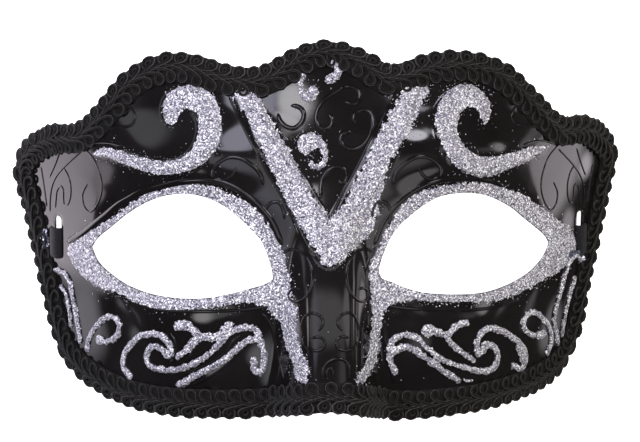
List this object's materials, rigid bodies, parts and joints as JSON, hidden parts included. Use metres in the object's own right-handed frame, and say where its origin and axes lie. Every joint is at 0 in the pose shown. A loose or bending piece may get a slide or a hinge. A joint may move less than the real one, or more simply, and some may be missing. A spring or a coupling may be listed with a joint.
{
  "type": "venetian half mask",
  "caption": "Glossy moulded half mask with a shaped nose, almond eye openings, raised scrollwork with glitter, a looped braid edge and an elastic head band, lying face up.",
  "frame": {"origin": "centre of the mask's footprint on the surface it lies on, with the mask on its back and its two side edges on that surface", "axes": "+X to the right as the face is looked at, +Y up the face towards the crown, +Z out of the face"},
  "size_m": [0.1751, 0.106, 0.066],
  "materials": {
    "black_plastic": "glossy black moulded plastic",
    "black_braid": "matte black wrapped cord in loops",
    "black_elastic": "matte black woven elastic",
    "silver_glitter": "silver glitter flakes set in clear glue"
  },
  "bodies": {
    "root": {"mask_shell": "black_plastic", "braid_trim": "black_braid", "elastic_strap": "black_elastic"}
  },
  "joints": []
}
